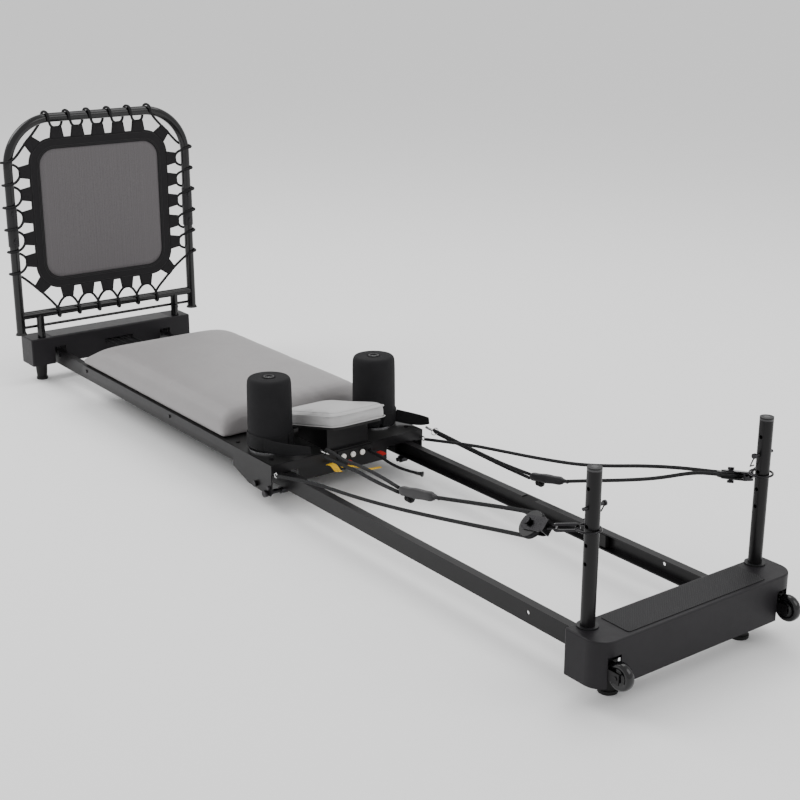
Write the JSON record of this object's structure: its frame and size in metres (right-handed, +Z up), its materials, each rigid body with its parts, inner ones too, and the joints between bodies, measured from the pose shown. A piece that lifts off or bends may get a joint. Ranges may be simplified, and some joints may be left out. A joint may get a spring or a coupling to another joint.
{
  "type": "pilates reformer",
  "caption": "Low sliding-carriage pilates reformer with padded bed, headrest, foam shoulder rests, resistance cords, pulley ropes on head risers and an upright elastic foot rebounder.",
  "frame": {"origin": "on the floor below the middle of the machine's bounding box, cords left out", "axes": "+X from the foot end with the rebounder to the head end with the pulley risers, +Y to the far side rail, +Z up"},
  "size_m": [2.401, 0.5862, 0.7636],
  "materials": {
    "moulded_black": "satin",
    "black_powder_coat": "satin",
    "gloss_black_tube": "gloss",
    "zinc_fastener": "satin",
    "nylon_wheel": "satin",
    "gloss_black_wheel": "gloss",
    "rubber_black": "matte",
    "painted_board": "satin",
    "grey_vinyl": "satin",
    "silver_vinyl": "satin",
    "black_foam": "matte",
    "steel_post": "satin",
    "black_webbing": "matte",
    "white_plastic": "satin",
    "coloured_webbing": "matte",
    "black_rope": "matte",
    "grey_mesh": "matte"
  },
  "bodies": {
    "frame": {"floor_feet": "rubber_black", "foot_base_cover": "moulded_black", "foot_frame": "black_powder_coat", "foot_top_panel": "moulded_black", "head_base_cover": "moulded_black", "head_frame": "black_powder_coat", "head_tread": "moulded_black", "loose_cord": "rubber_black", "rail_far": "black_powder_coat", "rail_fixings": "zinc_fastener", "rail_near": "black_powder_coat", "rail_stops": "rubber_black", "resistance_cords": "rubber_black", "riser_trim": "moulded_black", "risers": "black_powder_coat", "rope_far": "black_rope", "rope_loop_far": "black_rope", "rope_loop_near": "black_rope", "rope_near": "black_rope", "transport_forks": "black_powder_coat"},
    "carriage": {"carriage_frame": "black_powder_coat", "deck_board": "painted_board", "carriage_screws": "zinc_fastener", "wheel_brackets": "black_powder_coat", "wheel_axles": "zinc_fastener", "side_hangers": "black_powder_coat", "lift_guides": "zinc_fastener", "main_pad": "grey_vinyl", "headrest_hinge": "black_powder_coat", "headrest_wedge": "black_powder_coat", "shoulder_rollers": "black_foam", "shoulder_posts": "steel_post", "shoulder_straps": "black_webbing", "cord_plates": "black_powder_coat", "cord_ends": "white_plastic", "pull_tabs": "coloured_webbing", "rope_hardware": "zinc_fastener"},
    "headrest": {"headrest_pad": "silver_vinyl", "headrest_board": "painted_board"},
    "foot_wheels": {"carriage_wheels_foot": "nylon_wheel"},
    "head_wheels": {"carriage_wheels_head": "nylon_wheel"},
    "pulley_near": {"pulley_hanger_near": "black_powder_coat"},
    "pulley_far": {"pulley_hanger_far": "black_powder_coat"},
    "sheave_near": {"sheave_near": "nylon_wheel"},
    "sheave_far": {"sheave_far": "nylon_wheel"},
    "adjuster_near": {"rope_adjuster_near": "moulded_black"},
    "adjuster_far": {"rope_adjuster_far": "moulded_black"},
    "pin_near": {"height_pin_near": "zinc_fastener"},
    "pin_far": {"height_pin_far": "zinc_fastener"},
    "rebounder": {"hoop_upper": "gloss_black_tube", "hoop_lower": "gloss_black_tube", "hoop_sleeves": "gloss_black_tube", "hoop_bolts": "zinc_fastener", "hoop_end_caps": "rubber_black", "mat_mesh": "grey_mesh", "mat_border": "black_webbing", "mat_tabs": "black_webbing", "bungee_lacing": "black_rope"},
    "transport_near": {"transport_wheel_near": "gloss_black_wheel"},
    "transport_far": {"transport_wheel_far": "gloss_black_wheel"}
  },
  "joints": [
    {"name": "carriage_slide", "type": "slide", "parent": "frame", "child": "carriage", "axis": [1, 0, 0], "range_m": [0, 0.68], "stiffness_N_per_m": 100, "springref_m": -0.1, "deforming": ["rope_near", "rope_far", "rope_loop_near", "rope_loop_far", "resistance_cords", "loose_cord"]},
    {"name": "headrest_tilt", "type": "hinge", "parent": "carriage", "child": "headrest", "pos_m": [-0.07282, 0, 0.12069], "axis": [0, -1, 0], "range_deg": [0, 25]},
    {"name": "foot_wheel_spin", "type": "hinge", "parent": "carriage", "child": "foot_wheels", "pos_m": [-0.82, 0, 0.0677], "axis": [0, 1, 0], "range_deg": [-5, 2524]},
    {"name": "head_wheel_spin", "type": "hinge", "parent": "carriage", "child": "head_wheels", "pos_m": [0.04, 0, 0.0677], "axis": [0, 1, 0], "range_deg": [-5, 2524]},
    {"name": "pulley_swing_near", "type": "hinge", "parent": "frame", "child": "pulley_near", "pos_m": [1.0935, -0.21, 0.304], "axis": [0, 0, 1], "range_deg": [-5, 5]},
    {"name": "sheave_spin_near", "type": "hinge", "parent": "pulley_near", "child": "sheave_near", "pos_m": [0.9885, -0.245, 0.285], "axis": [-0.1863, -0.6992, 0.6903], "continuous": true},
    {"name": "adjuster_slide_near", "type": "slide", "parent": "frame", "child": "adjuster_near", "axis": [1, 0, 0], "range_m": [0, 0.256]},
    {"name": "height_pin_pull_near", "type": "slide", "parent": "frame", "child": "pin_near", "axis": [0, 1, 0], "range_m": [0, 0.04]},
    {"name": "transport_spin_near", "type": "hinge", "parent": "frame", "child": "transport_near", "pos_m": [1.1755, -0.21, 0.072], "axis": [0, 1, 0], "continuous": true},
    {"name": "pulley_swing_far", "type": "hinge", "parent": "frame", "child": "pulley_far", "pos_m": [1.0935, 0.21, 0.304], "axis": [0, 0, 1], "range_deg": [-5, 5]},
    {"name": "sheave_spin_far", "type": "hinge", "parent": "pulley_far", "child": "sheave_far", "pos_m": [0.9985, 0.24, 0.267], "axis": [0.1992, -0.2004, -0.9592], "continuous": true},
    {"name": "adjuster_slide_far", "type": "slide", "parent": "frame", "child": "adjuster_far", "axis": [1, 0, 0], "range_m": [0, 0.386]},
    {"name": "height_pin_pull_far", "type": "slide", "parent": "frame", "child": "pin_far", "axis": [0, -1, 0], "range_m": [0, 0.04]},
    {"name": "transport_spin_far", "type": "hinge", "parent": "frame", "child": "transport_far", "pos_m": [1.1755, 0.21, 0.072], "axis": [0, 1, 0], "continuous": true},
    {"name": "rebounder_lift", "type": "slide", "parent": "frame", "child": "rebounder", "axis": [0, 0, 1], "range_m": [0, 0.06]}
  ],
  "couplings": [
    {"joint": "foot_wheel_spin", "follows": "carriage_slide", "rad_per_m": 64.516},
    {"joint": "head_wheel_spin", "follows": "carriage_slide", "rad_per_m": 64.516},
    {"joint": "adjuster_slide_near", "follows": "carriage_slide", "ratio": 0.375},
    {"joint": "adjuster_slide_far", "follows": "carriage_slide", "ratio": 0.566}
  ]
}
